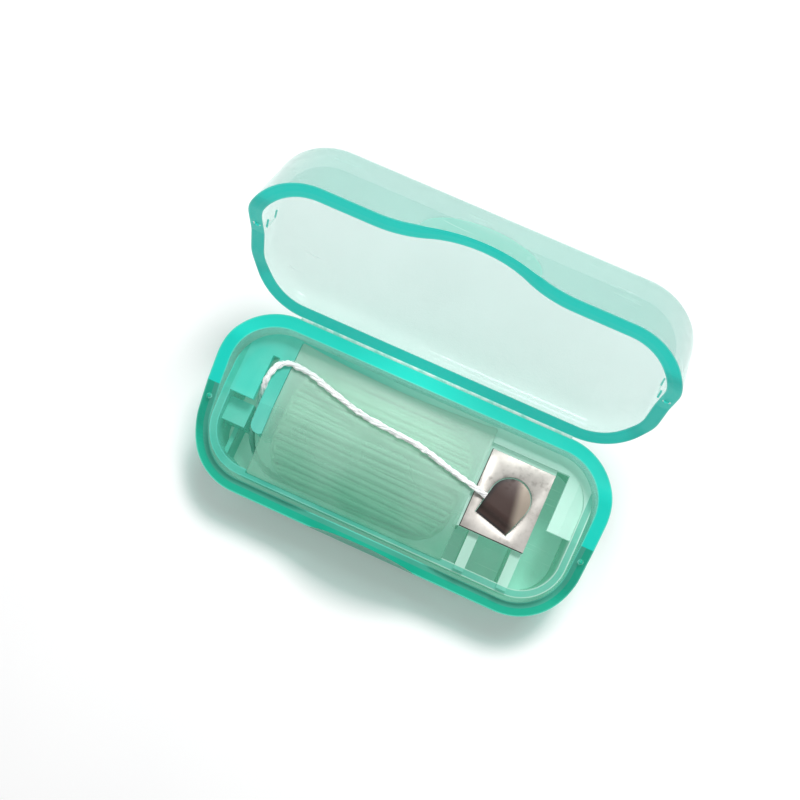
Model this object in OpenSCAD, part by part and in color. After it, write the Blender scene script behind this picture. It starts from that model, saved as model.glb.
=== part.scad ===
// Dental floss dispenser: a translucent hinged case with a floss insert,
// a clear cover over the wound floss and a steel cutter plate.
// X runs along the case, +Y points to the hinge, +Z is up, and the origin is
// the middle of the face that the case stands on. The lid is drawn open.

/* [Case] */
// Length of the case
case_l = 64; // [54:1:80]
// Width of the case, front to hinge side
case_w = 27.8; // [25:0.2:36]
// Height of the closed case
case_h = 23; // [21:0.5:30]
// Radius of the upright corners, seen from above
corner_r = 9.8; // [8.5:0.1:12]
// Radius of the edge round the floor and round the crown
edge_r = 1.8; // [1:0.1:2.4]
// Thickness of the upright walls
wall = 2.1; // [1.8:0.1:2.6]
// Thickness of the floor of the base
floor_t = 1.5; // [1:0.1:2.5]
// Thickness of the crown of the lid
crown_t = 1.4; // [1:0.1:2.5]
// Radius inside the lid, where its walls meet the crown
crown_inner_r = 2.2; // [1:0.1:3]
// Radius inside the base, where its walls meet the floor
floor_inner_r = 0.3; // [0.2:0.1:1]

/* [Parting line] */
// Height of the lid's wall at the hinge side
lid_back_h = 4.36; // [3.5:0.1:6]
// Distance from the hinge side at which the rim starts to fall
fall_start = 5.9; // [4:0.1:8]
// Distance from the hinge side to the kink in the rim
kink_back = 13.7; // [12:0.1:17]
// Fall of the rim from the hinge side to the kink
kink_drop = 3.27; // [2:0.1:4]
// Fall of the rim from the hinge side to the front
front_drop = 8.46; // [6:0.1:9]
// Length of the level rim at the front
front_level = 6.3; // [5:0.1:8]
// Radius of the bends in the rim
rim_bend_r = 6; // [3:0.5:9]
// Height of the arch in the front rim
arch_h = 4.54; // [3:0.1:6]
// Half the width of the arch in the front rim
arch_half_w = 14.45; // [11:0.1:18]
// Gap between the two rims when the case is closed
rim_gap = 0.15; // [0.1:0.05:0.3]

/* [Thumb hollow] */
// Depth of the thumb hollow in the front wall
scoop_depth = 0.85; // [0.5:0.05:1.1]
// Radius of the hollow across the front
scoop_across_r = 47.6; // [40:1:60]
// Radius of the hollow up and down
scoop_up_r = 23.3; // [18:0.5:28]
// Distance from the top of the arch down to the middle of the hollow
scoop_below = 3; // [2:0.5:4]

/* [Hinge and catches] */
// Angle at which the lid stands open
open_angle = 132; // [90:1:170]
// Distance from the back walls to the hinge line
hinge_out = 0.15; // [0.15:0.05:0.4]
// Thickness of the hinge film
film_t = 0.3; // [0.2:0.05:0.5]
// Radius of the locating pips on the side rims
pip_r = 0.45; // [0.3:0.05:0.6]
// Distance of the pips and nibs in front of the kink
catch_forward = 2.2; // [1.5:0.1:4]
// Height of the nibs inside the lid
nib_h = 3; // [2:0.5:4]
// Width of the nibs along the lid's wall
nib_l = 1.4; // [1:0.1:2]
// Distance of the nibs from the lid's rim
nib_inset = 1; // [0.5:0.1:1.5]
// How far the nibs stand out of the lid's wall
nib_out = 0.3; // [0.2:0.05:0.35]

/* [Insert] */
// Gap between the insert and the side walls of the base
gap_side = 0.5; // [0.4:0.1:0.8]
// Gap between the insert and the front wall of the base
gap_front = 0.7; // [0.4:0.1:1]
// Gap between the insert and the back wall of the base
gap_back = 0.25; // [0.2:0.05:0.5]
// Gap under the insert
gap_under = 0.15; // [0.1:0.05:0.3]
// Thickness of the insert's outer wall
insert_wall = 1.2; // [0.9:0.1:1.6]
// Height of the decks above the ground
deck_z = 14.9; // [13:0.1:16]
// Height of the insert's wall at the front
lip_z = 12.2; // [11.7:0.1:14]
// Thickness of the decks
deck_t = 1.5; // [1:0.1:2]
// Width of the left deck, from the insert's left end to the exit slot
left_deck_w = 5; // [4:0.1:7]
// Length of the closed back part of the exit slot's strip
slot_back = 3.9; // [3:0.1:6]
// Width of the exit slot
slot_w = 1.15; // [1.05:0.05:1.6]
// Width of the divider bar
divider_w = 2.7; // [2:0.1:3.5]
// How far the divider bar runs in front of the kink
divider_forward = 4.5; // [3:0.1:6]
// Thickness of the wall between the floss well and the cutter
well_wall = 0.85; // [0.6:0.05:1.2]
// Height of the guide block beside the exit slot
guide_h = 10; // [7:0.5:12]
// Length of the guide block
guide_l = 3.8; // [3:0.1:5]
// Distance of the guide block in front of the kink
guide_gap = 0.6; // [0.4:0.1:1]
// Height of the rib in front of the guide block
guide_rib_h = 6.5; // [5:0.5:9]
// Thickness of the rib in front of the guide block
guide_rib_t = 0.7; // [0.5:0.1:1.2]
// Distance from the exit slot to the far side of the rib
guide_rib_in = 2; // [1.5:0.1:2.5]

/* [Cutter] */
// Width of the cutter plate
plate_w = 10.4; // [9:0.1:12]
// Length of the cutter plate
plate_l = 12.8; // [11:0.1:14]
// Thickness of the cutter plate
plate_t = 0.4; // [0.3:0.05:0.6]
// Gap between the plate and the wall behind it
plate_gap = 0.8; // [0.3:0.1:1]
// Height of the deck above the plate's seat
seat_drop = 0.9; // [0.7:0.1:1.2]
// Thickness of the shelf that carries the plate
shelf_t = 1.4; // [1:0.1:2]
// Width of the opening between the plate and the right deck
shelf_side = 1.9; // [1.5:0.1:2.5]
// Width of the deck behind the shelf
back_strip = 2.4; // [2:0.1:3]
// Thickness of the two ribs that carry the front of the shelf
rib_t = 1.6; // [1.2:0.1:2.2]
// Distance of the left rib from the left side of the plate
rib_inset = 1.8; // [1:0.1:2.5]
// Height of the plate's seat above the level tops of the ribs
rib_drop = 0.9; // [0.7:0.1:1.2]
// How far the ribs reach over the insert's front wall
rib_reach = 0.7; // [0.3:0.1:0.8]
// Width of the right deck, from that opening to the insert's right end
right_deck_w = 5; // [4:0.1:7]
// Width of the level part of the right deck
right_level_w = 1.8; // [1:0.1:2.5]
// Fall of the right deck to its outer edge
right_fall = 1; // [0.5:0.1:1.3]
// Distance of the tang's root from the left side of the plate
tang_left = 1.15; // [1:0.05:1.8]
// Distance of the tang's root from the front of the plate
tang_front = 2.9; // [2.6:0.1:3.8]
// Width of the tang
tang_w = 6.3; // [5:0.1:6.6]
// Width of the tang at its root
tang_root_w = 5.7; // [4.5:0.1:6.2]
// Length of the tang from its root to its tip
tang_l = 8; // [6.5:0.1:8.4]
// Height that the tang is raised
tang_rise = 1.5; // [1.4:0.05:1.8]
// Further rise of the tang towards its tip
tip_rise = 0.25; // [0.1:0.05:0.4]
// Radius of the two bends behind the tang's root
tang_bend_r = 1.4; // [1:0.1:1.8]
// Turn of the tang's tip towards the right
tang_turn = 15; // [0:1:20]
// Gap between the tang and the hole that it leaves
tang_gap = 0.12; // [0.1:0.02:0.3]

/* [Floss] */
// Diameter of the floss
floss_d = 0.9; // [0.6:0.1:1]
// Gap between the winding and the walls of its well
well_gap = 0.6; // [0.5:0.1:1]
// Radius of the winding's corners
winding_r = 5.5; // [4:0.1:7]
// Gap between the winding and the cover
cover_room = 0.2; // [0.15:0.05:0.4]
// Distance between turns across the top of the winding
top_pitch = 1.35; // [1.35:0.05:1.6]
// Turns up the side of the winding
side_turns = 6.5; // [4:0.5:7]
// Turns across the top of the winding
top_turns = 4.5; // [3:0.5:4.5]
// Distance between turns where they pass from the side to the top
edge_pitch = 1.95; // [1.9:0.05:2.2]
// Gap between the outer turns and the packed turns inside
core_gap = 0.15; // [0.1:0.05:0.3]
// Length of the straight tail between the winding and the free lead
tail_l = 2.7; // [1.5:0.1:4]

/* [Cover] */
// Thickness of the clear cover
cover_t = 0.4; // [0.3:0.05:0.6]
// How far the cover lies on the walls of the well
cover_lap = 0.45; // [0.3:0.05:0.6]
// Gap round the cover in its rebate
cover_gap = 0.1; // [0.05:0.05:0.2]
// Depth of the hollow in the cover's back edge
cover_hollow = 0.85; // [0.4:0.05:1.2]
// Distance of the cover's back corners from the back of the insert
cover_back = 0.25; // [0.2:0.05:0.4]
// Radius of the cover's corners
cover_corner_r = 0.4; // [0.2:0.1:1]

/* [Hidden] */
$fn = 96;

// Small overlap between solids that are joined or cut
tiny = 0.01;
// Overlap between ribs, shelves and the walls that they grow out of
lap = 0.5;
// Length that reaches past the whole case
far = 2 * case_l;

// Case
half_l = case_l / 2;
half_w = case_w / 2;
hinge_z = case_h - lid_back_h;
hinge_y = half_w + hinge_out;
kink_y = half_w - kink_back;
kink_z = hinge_z - kink_drop;
front_z = hinge_z - front_drop;
catch_y = kink_y - catch_forward;

// Corners of the rim's side outline, from the hinge side to the front
fall_top = [half_w - fall_start, hinge_z];
kink = [kink_y, kink_z];
fall_end = [front_level - half_w, front_z];
behind = [half_w + 2, hinge_z];
ahead = [-half_w - 2, front_z];

// Arch in the front rim, of two hollow bends and one crown of equal radius
arch_r = (pow(arch_half_w, 2) + pow(arch_h, 2)) / (4 * arch_h);
arch_mid_z = front_z + arch_h / 2;

// Insert, and the slope of its top in front of the kink
insert_x = half_l - wall - gap_side;
insert_front = wall + gap_front - half_w;
insert_back = half_w - wall - gap_back;
insert_z = floor_t + gap_under;
insert_r = corner_r - wall - gap_side;
slot_x0 = left_deck_w - insert_x;
divider_x0 = slot_x0 + slot_w;
well_x0 = divider_x0 + divider_w;
divider_end = kink_y - divider_forward;
seat_z = deck_z - seat_drop;
right_deck_x = insert_x - right_deck_w;
plate_x1 = right_deck_x - shelf_side;
plate_x0 = plate_x1 - plate_w;
well_x1 = plate_x0 - well_wall;
shelf_back = insert_back - back_strip;
plate_y1 = shelf_back - plate_gap;
plate_y0 = plate_y1 - plate_l;
rib_xs = [plate_x0 + rib_inset, plate_x1 - rib_t];
guide_y1 = kink_y - guide_gap;
well_y0 = insert_front + insert_wall;
well_y1 = insert_back - insert_wall;
top_slope = (deck_z - lip_z) / (kink_y - insert_front);

// Tang: the left end of its root, and the angle of the bends behind it
tang_root = [plate_x0 + tang_left, plate_y0 + tang_front];
tang_bend = acos(1 - tang_rise / (2 * tang_bend_r));
tang_lap = 0.3;

// Winding, whose first inner turn at the front lies close under the cover
floss_r = floss_d / 2;
winding_lift = 0.05;
winding_x = (well_x0 + well_x1) / 2;
winding_y = (well_y0 + well_y1) / 2;
turn_x = (well_x1 - well_x0) / 2 - well_gap - floss_r;
turn_y = (well_y1 - well_y0) / 2 - well_gap - floss_r;
turn_z = floor_t + floss_r + winding_lift;
inner_turn_y = winding_y - turn_y + edge_pitch / 2;
winding_top = lip_z + top_slope * (inner_turn_y - insert_front) - cover_t
    - (cover_room + floss_r) / cos(atan(top_slope));
side_pitch = (winding_top - turn_z - edge_pitch) / (side_turns - 1);
winding_sides = 6;
rings_per_turn = 24;
least_turn_r = 2;

// Route of the free lead, from the winding's tail round the divider bar, up
// through the exit slot and across the cover to the tang
lead_route = [
    [-16.7, -8.85, 2.0], [-17.3, -8.85, 2.0], [-17.9, -8.85, 2.0],
    [-19.6, -8.5, 2.5], [-21.6, -7.5, 3.9],
    [-23.1, -5.6, 5.9], [-23.8, -3.4, 8.0], [-23.8, -1.2, 10.2], [-23.8, 0.8, 12.3],
    [-23.8, 2.3, 14.0], [-23.7, 3.7, 15.3], [-23.4, 5.2, 15.7], [-22.7, 6.7, 15.6],
    [-21.3, 7.4, 15.5], [-19.2, 7.4, 15.4], [-16.8, 7.0, 15.4], [-13.2, 6.0, 15.4],
    [-8.1, 4.8, 15.4], [-3.0, 4.3, 15.4], [2.1, 3.9, 15.4], [7.1, 2.7, 15.4],
    [11.4, 1.8, 15.4], [12.9, 1.5, 15.1], [14.3, 1.2, 14.87], [15.2, 1.0, 14.87]
];
lead_steps = 3;
lead_sides = 8;

function unit(v) = v / norm(v);
function flat(lists) = [for (list = lists) each list];

// Rectangle between two corners with rounded corners
module round_rect(low, high, r) {
    for (x = [low.x + r, high.x - r], y = [low.y + r, high.y - r])
        translate([x, y])
            circle(r);
    translate([low.x + r, low.y])
        square([high.x - low.x - 2 * r, high.y - low.y]);
    translate([low.x, low.y + r])
        square([high.x - low.x, high.y - low.y - 2 * r]);
}

// Extrudes a side outline, drawn as Y and Z, along the whole length
module along_x(length) {
    rotate([90, 0, 90])
        linear_extrude(length, center = true)
            children();
}

// Extrudes a front outline, drawn as X and Z, from y0 to y1
module along_y(y0, y1) {
    translate([0, y1, 0])
        rotate([90, 0, 0])
            linear_extrude(y1 - y0)
                children();
}

// Block with round corners seen from above and a rounded edge above and below
module case_block(inset, z0, z1, edge) {
    r = corner_r - inset;
    x = half_l - inset;
    y = half_w - inset;
    for (sx = [-1, 1], sy = [-1, 1])
        translate([sx * (x - r), sy * (y - r), 0])
            rotate_extrude()
                intersection() {
                    round_rect([-r, z0], [r, z1], edge);
                    translate([0, z0])
                        square([r, z1 - z0]);
                }
    along_x(2 * (x - r))
        round_rect([-y, z0], [y, z1], edge);
    along_y(r - y, y - r)
        round_rect([-x, z0], [x, z1], edge);
}

// Points of a bend of radius r that rounds the corner between two straight lines
function bend(before, corner, after, r, steps = 6) =
    let (
        a = unit(before - corner),
        b = unit(after - corner),
        half = acos(a * b) / 2,
        centre = corner + unit(a + b) * r / sin(half),
        start = corner + a * r / tan(half) - centre,
        end = corner + b * r / tan(half) - centre
    )
    [for (i = [0 : steps]) centre + r * unit(start * (steps - i) + end * i)];

// Side outline of everything below the rim
module rim_side() {
    polygon(concat(
        [behind],
        bend(behind, fall_top, kink, rim_bend_r),
        [kink],
        bend(kink, fall_end, ahead, rim_bend_r),
        [ahead, [ahead.x, -1], [behind.x, -1]]
    ));
}

// Front outline of the arch in the rim
module arch_front() {
    half = arch_half_w / 2;
    translate([-half, 0])
        square([arch_half_w, arch_mid_z]);
    intersection() {
        translate([0, front_z + arch_h - arch_r])
            circle(arch_r);
        translate([-half, arch_mid_z - tiny])
            square([arch_half_w, arch_h]);
    }
    for (side = [-1, 1])
        difference() {
            translate([side * 1.5 * half - half / 2, 0])
                square([half, arch_mid_z]);
            translate([side * arch_half_w, front_z + arch_r])
                circle(arch_r);
        }
}

// Everything below the rim, moved up or down by a share of the gap
module below_rim(shift) {
    translate([0, 0, shift]) {
        along_x(case_l + 4)
            rim_side();
        along_y(-half_w - 1, wall + 1 - half_w)
            arch_front();
    }
}

// Hollow for the thumb across both front walls
module thumb_hollow() {
    z = front_z + arch_h - scoop_below;
    translate([0, scoop_depth - half_w - scoop_across_r, z])
        rotate_extrude($fn = 180)
            translate([scoop_across_r - scoop_up_r, 0])
                intersection() {
                    circle(scoop_up_r, $fn = 180);
                    translate([0, -scoop_up_r])
                        square([2 * scoop_up_r, 2 * scoop_up_r]);
                }
}

// Places of the locating pips in the middle of the side rims
module at_pips() {
    slope = (fall_end.y - kink.y) / (fall_end.x - kink.x);
    for (side = [-1, 1])
        translate([side * (half_l - wall / 2), catch_y, kink_z - slope * catch_forward])
            children();
}

module base_shell() {
    color([0.10, 0.75, 0.66, 0.7]) {
        difference() {
            intersection() {
                case_block(0, 0, case_h, edge_r);
                below_rim(-rim_gap / 2);
            }
            case_block(wall, floor_t, case_h - crown_t, floor_inner_r);
            thumb_hollow();
        }
        at_pips()
            sphere(pip_r, $fn = 32);
    }
}

// Turns a piece of the closed lid about the hinge line to where the lid stands
module open_lid() {
    translate([0, hinge_y, hinge_z])
        rotate([-open_angle, 0, 0])
            translate([0, -hinge_y, -hinge_z])
                children();
}

// Small upright nibs inside the side walls of the lid, just above the rim
module lid_nibs() {
    slope = (fall_end.y - kink.y) / (fall_end.x - kink.x);
    z = kink_z - slope * catch_forward + rim_gap + nib_inset;
    for (side = [-1, 1])
        translate([side * (half_l - wall) - (side > 0 ? nib_out : lap), catch_y - nib_l / 2, z])
            cube([lap + nib_out, nib_l, nib_h]);
}

module lid_shell() {
    color([0.45, 0.85, 0.78, 0.7])
        open_lid()
            difference() {
                union() {
                    difference() {
                        case_block(0, 0, case_h, edge_r);
                        case_block(wall, floor_t, case_h - crown_t, crown_inner_r);
                        below_rim(rim_gap / 2);
                        thumb_hollow();
                    }
                    lid_nibs();
                }
                at_pips()
                    sphere(pip_r + rim_gap, $fn = 32);
            }
}

// Half of the hinge film, below the hinge line on the back wall of the base
module film_half() {
    film_l = case_l - 2 * corner_r;
    translate([-film_l / 2, half_w, hinge_z - film_t])
        cube([film_l, hinge_out, film_t - tiny]);
}

module hinge_film_base() {
    color([0.80, 0.95, 0.90])
        film_half();
}

module hinge_film_lid() {
    color([0.80, 0.95, 0.90])
        open_lid()
            translate([0, 0, 2 * hinge_z])
                mirror([0, 0, 1])
                    film_half();
}

// Outline of the insert from above, drawn in from its outer face
module insert_outline(inset) {
    round_rect(
        [inset - insert_x, insert_front + inset],
        [insert_x - inset, insert_back - inset],
        insert_r - inset
    );
}

// Everything below the insert's top, which is level behind the kink and falls
// to the lip in front of it
module below_insert_top(shift) {
    translate([0, 0, shift])
        along_x(far)
            polygon([
                [far, 0], [far, deck_z], [kink_y, deck_z], [insert_front, lip_z],
                [insert_front - 1, lip_z], [insert_front - 1, 0]
            ]);
}

// Slab between two heights over an outline
module slab(z0, z1) {
    translate([0, 0, z0])
        linear_extrude(z1 - z0)
            children();
}

// Rectangle between two corners
module box_outline(low, high) {
    translate(low)
        square(high - low);
}

module left_deck() {
    slab(deck_z - deck_t, deck_z)
        intersection() {
            insert_outline(0);
            union() {
                box_outline([-insert_x, kink_y], [slot_x0, insert_back]);
                box_outline([slot_x0 - 1, insert_back - slot_back], [well_x0, insert_back]);
            }
        }
}

module divider_bar() {
    r = divider_w / 2;
    slab(insert_z, deck_z) {
        box_outline([divider_x0, divider_end + r], [well_x0, well_y1 + lap]);
        translate([divider_x0 + r, divider_end + r])
            circle(r);
    }
}

module guide_block() {
    rib_x = slot_x0 - guide_rib_in;
    slab(insert_z, insert_z + guide_h)
        intersection() {
            box_outline([-insert_x, guide_y1 - guide_l], [slot_x0, guide_y1]);
            insert_outline(insert_wall / 2);
        }
    slab(insert_z, insert_z + guide_rib_h)
        intersection() {
            box_outline([rib_x, insert_front], [rib_x + guide_rib_t, guide_y1 - guide_l + tiny]);
            insert_outline(insert_wall / 2);
        }
}

module cutter_shelf() {
    slab(seat_z - shelf_t, seat_z)
        box_outline([well_x1, plate_y0], [plate_x1, shelf_back + lap]);
    slab(insert_z, deck_z)
        box_outline([well_x1, shelf_back], [plate_x0, well_y1 + lap]);
    slab(insert_z, seat_z)
        box_outline([well_x1, plate_y0], [plate_x0, well_y1 + lap]);
}

// Level ribs in front of the shelf, whose ends stand on the insert's front wall
module shelf_ribs() {
    for (x = rib_xs)
        slab(insert_z, seat_z - rib_drop)
            box_outline([x, well_y0 - rib_reach], [x + rib_t, plate_y0 + lap]);
}

// Right deck, an L round the shelf, with its outer part falling to the wall
module right_deck() {
    difference() {
        slab(deck_z - deck_t, deck_z)
            intersection() {
                insert_outline(0);
                union() {
                    box_outline([well_x1, shelf_back], [insert_x, insert_back]);
                    box_outline([right_deck_x, kink_y], [insert_x, insert_back]);
                }
            }
        along_y(kink_y - 1, insert_back + 1)
            polygon([
                [right_deck_x + right_level_w, deck_z], [insert_x, deck_z - right_fall],
                [insert_x + 1, deck_z - right_fall], [insert_x + 1, deck_z + 1],
                [right_deck_x + right_level_w, deck_z + 1]
            ]);
    }
}

// Outline of the cover from above, grown on every side
module cover_outline(grow) {
    low = [well_x0 - cover_lap - grow, well_y0 - cover_lap - grow];
    high = [well_x1 + cover_lap + grow, insert_back - cover_back + grow];
    half = (high.x - low.x) / 2;
    bow_r = (pow(half, 2) + pow(cover_hollow, 2)) / (2 * cover_hollow);
    difference() {
        round_rect(low, high, cover_corner_r);
        translate([(low.x + high.x) / 2, high.y - cover_hollow + bow_r])
            circle(bow_r, $fn = 360);
    }
}

module floss_insert() {
    color([0.62, 0.90, 0.83, 0.8])
        difference() {
            union() {
                intersection() {
                    union() {
                        slab(insert_z, deck_z)
                            difference() {
                                insert_outline(0);
                                insert_outline(insert_wall);
                            }
                        left_deck();
                        divider_bar();
                        guide_block();
                        cutter_shelf();
                        right_deck();
                    }
                    below_insert_top(0);
                }
                shelf_ribs();
            }
            difference() {
                slab(floor_t, deck_z + 1)
                    box_outline(
                        [well_x0 - cover_lap - cover_gap, well_y0 - cover_lap - cover_gap],
                        [well_x1 + cover_lap + cover_gap, insert_back + 1]
                    );
                below_insert_top(-cover_t - cover_gap / 2);
            }
        }
}

module well_cover() {
    color([0.85, 0.96, 0.93, 0.45])
        difference() {
            intersection() {
                slab(floor_t, deck_z + 1)
                    cover_outline(0);
                below_insert_top(0);
            }
            below_insert_top(-cover_t);
        }
}

// Outline of the tang from above, its root along X and its tip along Y
module tang_outline(grow) {
    r = tang_w / 2;
    root = tang_root_w / 2;
    polygon([
        [r - root - grow, 0], [r + root + grow, 0],
        [tang_w + grow, tang_l - r], [-grow, tang_l - r]
    ]);
    translate([r, tang_l - r])
        circle(r + grow);
}

// Side outline of the raised tang, which bends up at its root and levels again
module tang_side() {
    steps = 8;
    mid = tang_bend_r;
    out = tang_bend_r * sin(tang_bend);
    up = tang_rise / 2;
    rise = [for (i = [0 : steps])
        let (a = tang_bend * i / steps)
        [mid * sin(a), mid * (1 - cos(a))]];
    level = [for (i = [steps - 1 : -1 : 0])
        let (a = tang_bend * i / steps)
        [2 * out - mid * sin(a), 2 * up - mid * (1 - cos(a))]];
    line = concat([[-tang_lap, 0]], rise, level, [[tang_l + 1, tang_rise + tip_rise]]);
    last = len(line) - 1;
    under = [for (i = [last : -1 : 0]) line[i]];
    over = [for (p = line) p + [0, plate_t]];
    polygon(concat(over, under));
}

module place_tang() {
    translate([tang_root.x, tang_root.y, seat_z])
        rotate([0, 0, -tang_turn])
            children();
}

module cutter_plate() {
    color([0.85, 0.84, 0.82]) {
        difference() {
            slab(seat_z, seat_z + plate_t)
                box_outline([plate_x0 + tiny, plate_y0], [plate_x1, plate_y1]);
            place_tang()
                translate([0, 0, -1])
                    linear_extrude(3)
                        tang_outline(tang_gap);
        }
        place_tang()
            intersection() {
                translate([tang_w / 2, 0, 0])
                    along_x(2 * tang_w)
                        tang_side();
                translate([0, -tang_lap, 0])
                    linear_extrude(far)
                        tang_outline(0);
            }
    }
}

// Block of round-cornered outline for the packed turns inside the winding
module floss_core() {
    x = turn_x - floss_r - core_gap;
    y = turn_y - floss_r - core_gap;
    color([0.92, 0.96, 0.93])
        translate([winding_x, winding_y, 0])
            slab(floor_t, winding_top - floss_r - core_gap)
                round_rect([-x, -y], [x, y], winding_r - floss_r - core_gap);
}

// One of the 24 points of a turn: five round each corner and one midway along
// each side, starting at the right side and going round by way of the back
function turn_point(k, x, y, r) =
    let (
        q = floor(k / 6) % 4,
        i = k % 6,
        sx = q == 0 || q == 3 ? 1 : -1,
        sy = q < 2 ? 1 : -1,
        a = q * 90 + i * 22.5
    )
    i < 5
        ? [sx * (x - r) + r * cos(a), sy * (y - r) + r * sin(a)]
        : q == 0 ? [0, y] : q == 1 ? [-x, 0] : q == 2 ? [0, -y] : [x, 0];

// Height above the first turn, and distance in from the outer turn, after a
// number of turns; the last turn up and the first turn in are spaced wider
function climb(turn) =
    side_pitch * min(turn, side_turns - 1)
    + edge_pitch * max(0, min(turn, side_turns) - (side_turns - 1));
function closing(turn) =
    edge_pitch * max(0, min(turn, side_turns + 1) - side_turns)
    + top_pitch * max(0, turn - side_turns - 1);

// Centre line of the winding: its tail from the free lead, the turns up the
// side, and the turns that close in across the top; it starts at the point
// midway along the front, the eighteenth of a turn
front_mid = 17;
total_rings = floor((side_turns + top_turns) * rings_per_turn);
corner_x = winding_x - turn_x + winding_r;
tail_end = [corner_x - tail_l, winding_y - turn_y, turn_z];
winding_path = concat(
    [tail_end, tail_end + [floss_d, 0, 0], [corner_x, tail_end.y, turn_z]],
    [for (n = [0 : total_rings])
        let (
            turn = n / rings_per_turn,
            inset = closing(turn),
            r = max(least_turn_r, winding_r - inset),
            p = turn_point(n + front_mid, turn_x - inset, turn_y - inset, r)
        )
        [winding_x + p.x, winding_y + p.y, turn_z + climb(turn)]]
);

// Direction of a centre line at one of its points
function heading(path, i) =
    unit(path[min(i + 1, len(path) - 1)] - path[max(i - 1, 0)]);

// Corners of a tube round a centre line, ring by ring
function tube_points(path, r, sides) = [
    for (i = [0 : len(path) - 1])
        let (
            ahead = heading(path, i),
            across = unit(cross(ahead, [0, 0, 1])),
            up = cross(across, ahead)
        )
        for (k = [0 : sides - 1])
            let (a = 360 * (k + 0.5) / sides)
            path[i] + r * cos(a) * across + r * sin(a) * up
];

function tube_faces(rings, sides) = flat([
    [for (i = [0 : rings - 2], k = [0 : sides - 1])
        let (a = i * sides + k, b = i * sides + (k + 1) % sides)
        each [[a, a + sides, b], [b, a + sides, b + sides]]],
    [for (k = [1 : sides - 2]) [0, k, k + 1]],
    [for (k = [1 : sides - 2])
        let (first = (rings - 1) * sides)
        [first, first + k + 1, first + k]]
]);

// Tube of triangles round a centre line
module tube(path, r, sides) {
    polyhedron(tube_points(path, r, sides), tube_faces(len(path), sides));
}

// Distance from a point to a straight stretch
function stretch_distance(p, a, b) =
    let (t = max(0, min(1, (p - a) * (b - a) / ((b - a) * (b - a)))))
    norm(p - a - t * (b - a));

// Least gap between points of the winding that lie half a turn or more
// apart along it
function least_gap(path, skip) = min([
    for (i = [0 : len(path) - 1], j = [i + skip : len(path) - 2])
        stretch_distance(path[i], path[j], path[j + 1])
]) - floss_d;

module floss_winding() {
    echo(winding_least_gap = least_gap(winding_path, 12));
    color([0.95, 0.97, 0.95])
        tube(winding_path, floss_r, winding_sides);
}

// Point between the second and third of four points of a route
function between(a, b, c, d, t) =
    0.5 * (2 * b + (c - a) * t + (2 * a - 5 * b + 4 * c - d) * t * t
        + (3 * b - a - 3 * c + d) * t * t * t);

function smooth(route, steps) =
    let (last = len(route) - 1)
    concat(
        [for (i = [0 : last - 1], s = [0 : steps - 1])
            between(route[max(i - 1, 0)], route[i], route[i + 1], route[min(i + 2, last)], s / steps)],
        [route[last]]
    );

module floss_lead() {
    color([0.98, 0.98, 0.98])
        tube(smooth(lead_route, lead_steps), floss_r, lead_sides);
}

base_shell();
lid_shell();
hinge_film_base();
hinge_film_lid();
floss_insert();
well_cover();
cutter_plate();
floss_core();
floss_winding();
floss_lead();
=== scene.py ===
# %% [markdown]
# A pocket floss dispenser, open on a white table. The case is translucent
# teal plastic, and inside it lie a paler insert, a clear cover over the wound
# floss, a small steel cutter and the free end of the floss.
# The construction comes as a fixed frame of measured pieces. This script gives
# each of them its finish, and models anew what a plain solid can't show: the
# yarn, its winding, the cutter's burred edges and the hinge film.

# %% Load the frame
import math

import bpy
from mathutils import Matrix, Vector


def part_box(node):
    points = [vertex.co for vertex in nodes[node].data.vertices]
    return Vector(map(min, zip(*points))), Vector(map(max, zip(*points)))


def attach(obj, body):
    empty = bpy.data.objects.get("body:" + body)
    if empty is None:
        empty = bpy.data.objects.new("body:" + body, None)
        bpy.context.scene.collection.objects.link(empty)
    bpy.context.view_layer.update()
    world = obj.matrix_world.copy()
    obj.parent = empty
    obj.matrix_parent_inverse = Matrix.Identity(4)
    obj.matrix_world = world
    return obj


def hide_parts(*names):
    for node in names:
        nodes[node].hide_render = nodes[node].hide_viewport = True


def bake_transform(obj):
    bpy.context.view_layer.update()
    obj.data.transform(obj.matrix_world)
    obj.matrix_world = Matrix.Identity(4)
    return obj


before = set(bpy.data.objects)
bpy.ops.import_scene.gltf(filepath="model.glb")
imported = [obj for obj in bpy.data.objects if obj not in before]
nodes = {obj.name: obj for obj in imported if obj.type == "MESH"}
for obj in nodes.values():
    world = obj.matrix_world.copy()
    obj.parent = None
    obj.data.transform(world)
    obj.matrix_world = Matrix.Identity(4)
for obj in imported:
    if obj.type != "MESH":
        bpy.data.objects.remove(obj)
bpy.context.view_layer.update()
MM = 0.001
print("frame holds", len(nodes), "pieces")

# %% [markdown]
# Every operator acts on what is selected, so one helper selects exactly the
# pieces that the next step is for. A second one closes each step on a piece:
# it takes the place into the mesh and smooths all but the crisp edges.

# %% Selection and shading helpers
CRISP_ANGLE = math.radians(35)


def pick(*pieces):
    bpy.ops.object.select_all(action="DESELECT")
    for piece in pieces:
        piece.select_set(True)
    bpy.context.view_layer.objects.active = pieces[-1]


def settle(piece, name):
    pick(piece)
    bpy.ops.object.transform_apply(location=True, rotation=True, scale=True)
    bpy.ops.object.shade_smooth_by_angle(angle=CRISP_ANGLE)
    piece.name = name
    piece.data.name = name
    print(name, "has", len(piece.data.polygons), "faces")
    return piece


def apply_modifiers(piece):
    pick(piece)
    for modifier in list(piece.modifiers):
        bpy.ops.object.modifier_apply(modifier=modifier.name)


# %% [markdown]
# The camera looks down almost upright, turned a little round the case, as in
# the photograph. It comes first, because a cord is judged by what the camera
# sees of it.

# %% Camera
CAMERA_PLACE = (0.010588, -0.015040, 0.195869)
CAMERA_TURN = (8.80937, 0.98340, 24.30785)
CAMERA_LENS = 54
SENSOR_WIDTH = 36

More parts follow.
